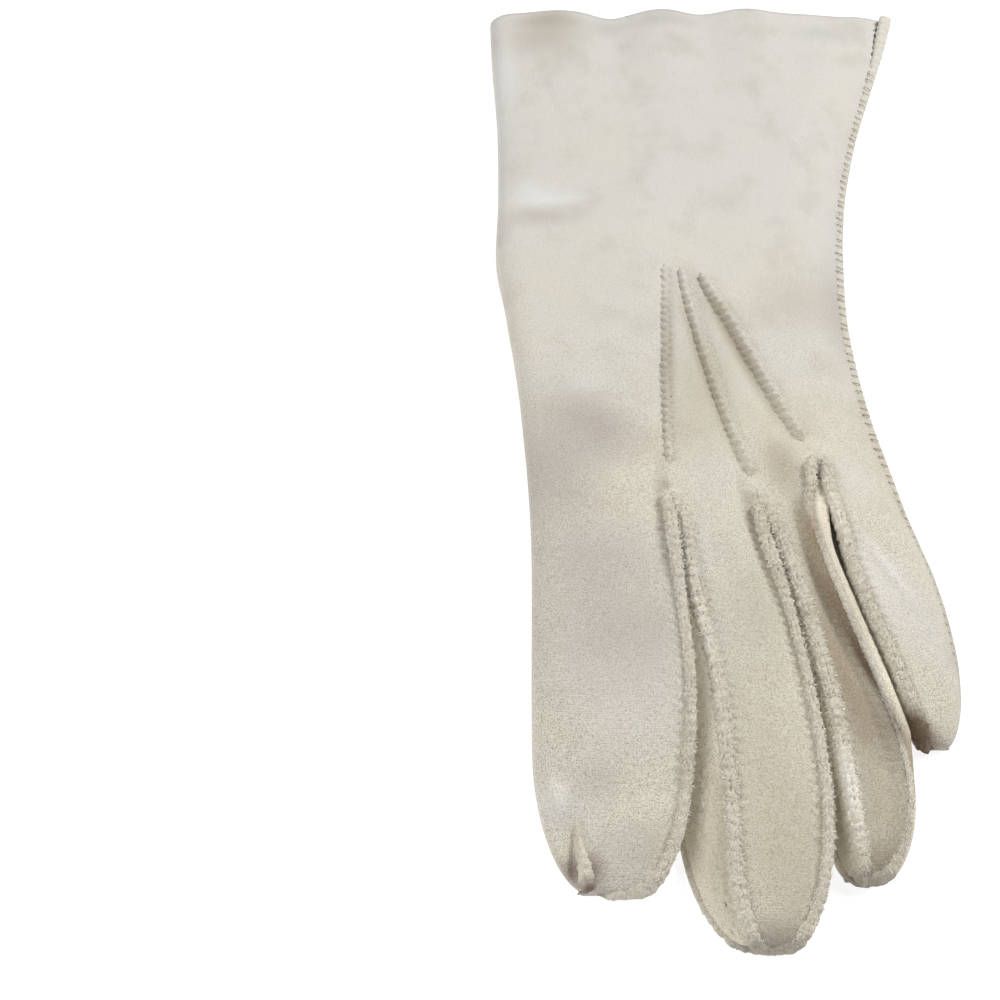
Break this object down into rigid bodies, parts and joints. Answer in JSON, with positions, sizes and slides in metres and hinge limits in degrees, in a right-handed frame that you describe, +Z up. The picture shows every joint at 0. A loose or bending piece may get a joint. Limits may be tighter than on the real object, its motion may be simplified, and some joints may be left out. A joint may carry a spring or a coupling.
{
  "type": "dress glove",
  "caption": "Woman's short cream dress glove of cotton suede cloth, lying flat with its thumb folded under, raised points on the back and raw-edged finger seams.",
  "frame": {"origin": "middle of the glove's box, on the surface that it lies on", "axes": "+Z up from the surface, out of the back of the hand; +Y along the glove from the fingertips to the cuff; +X from the folded edge at the index finger to the outer seam at the little finger"},
  "size_m": [0.1106, 0.2368, 0.0148],
  "materials": {
    "trank": "brushed matt cotton suede cloth",
    "fourchette": "brushed matt cotton suede cloth",
    "thumb": "brushed matt cotton suede cloth"
  },
  "bodies": {
    "root": {"trank": "trank", "fourchette_index_middle": "fourchette", "fourchette_middle_ring": "fourchette", "fourchette_ring_little": "fourchette", "thumb": "thumb"}
  },
  "joints": []
}
